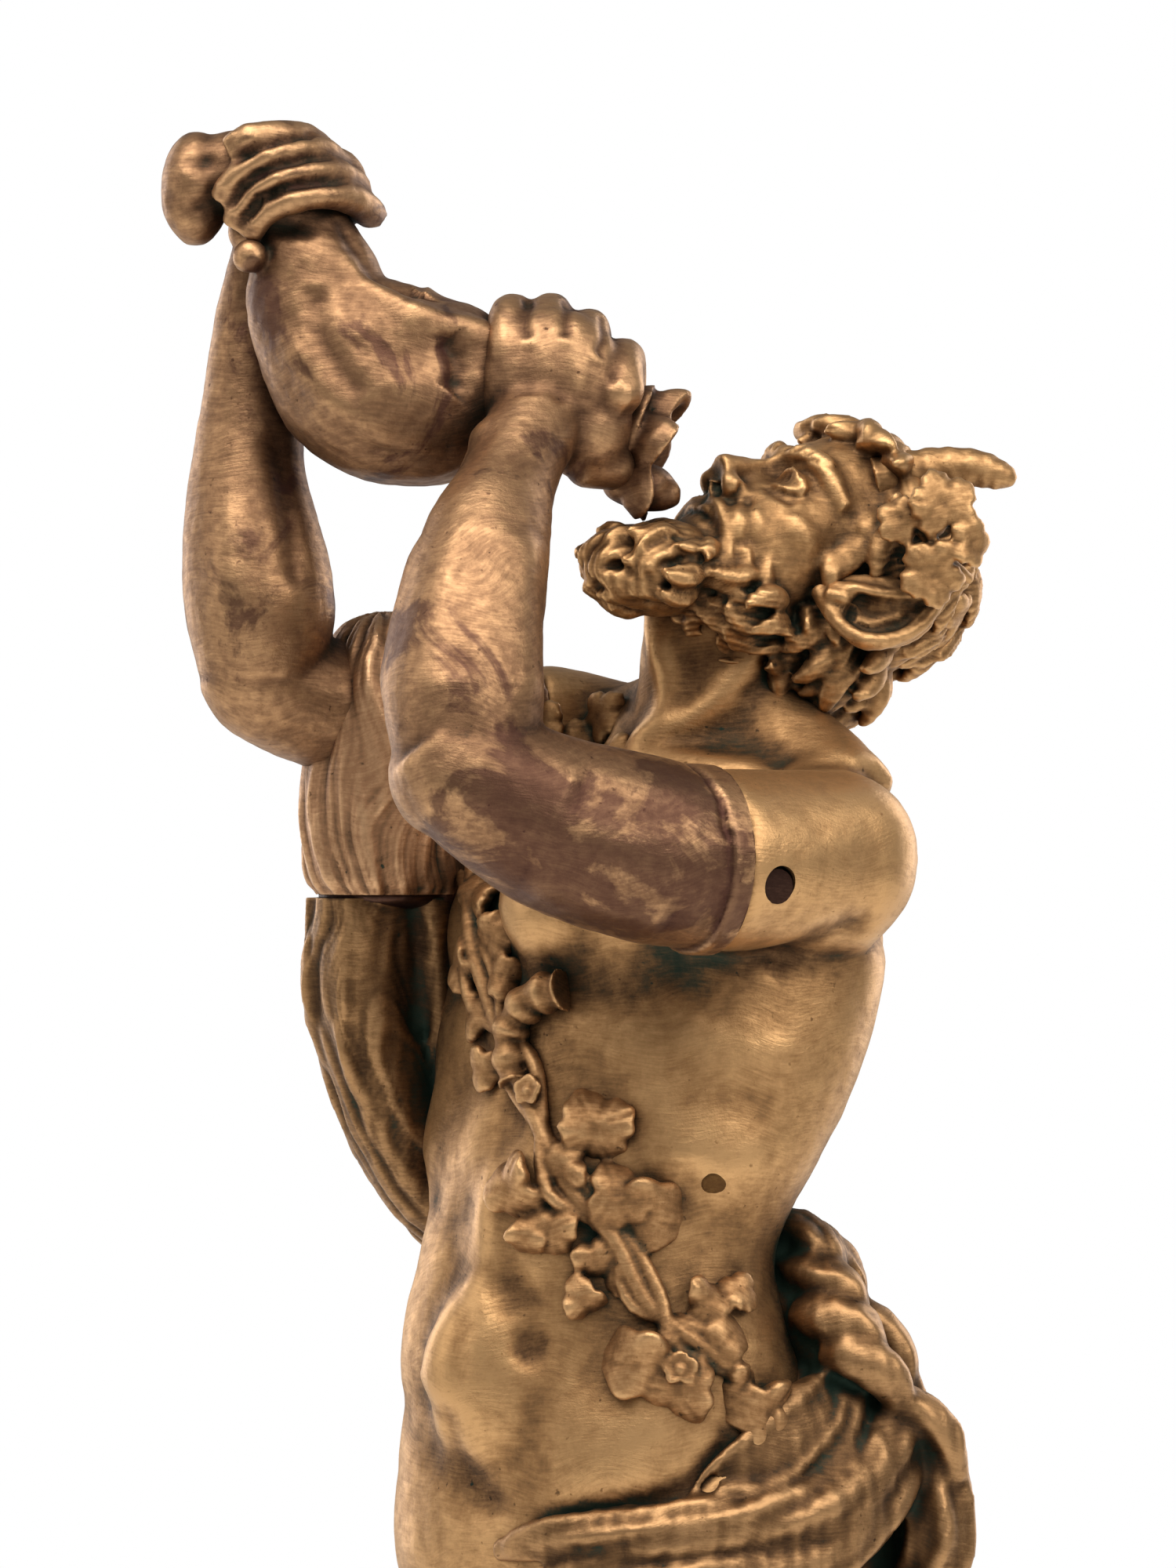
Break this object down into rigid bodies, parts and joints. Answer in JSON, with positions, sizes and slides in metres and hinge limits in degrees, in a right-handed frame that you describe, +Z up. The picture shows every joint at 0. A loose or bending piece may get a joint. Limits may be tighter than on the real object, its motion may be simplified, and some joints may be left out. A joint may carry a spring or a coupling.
{
  "type": "faun statue",
  "caption": "Bronze statuette of a horned, bearded faun leaning back to drink from a raised wineskin, on a low round plinth.",
  "frame": {"origin": "centre of the plinth's underside", "axes": "+Z up the statue, front towards -Y, +X to the right as seen from the front"},
  "size_m": [0.1645, 0.164, 0.5769],
  "materials": {
    "golden_bronze": "golden brown patina, brushed",
    "brown_bronze": "darker brown patina, brushed",
    "coppery_bronze": "pinkish cast bronze",
    "plinth_bronze": "brown patina",
    "dark_bronze": "dark patina"
  },
  "bodies": {
    "root": {"figure": "golden_bronze", "arms_with_wineskin": "brown_bronze", "vine_garland": "coppery_bronze", "plinth": "plinth_bronze", "arm_pin": "dark_bronze"}
  },
  "joints": []
}
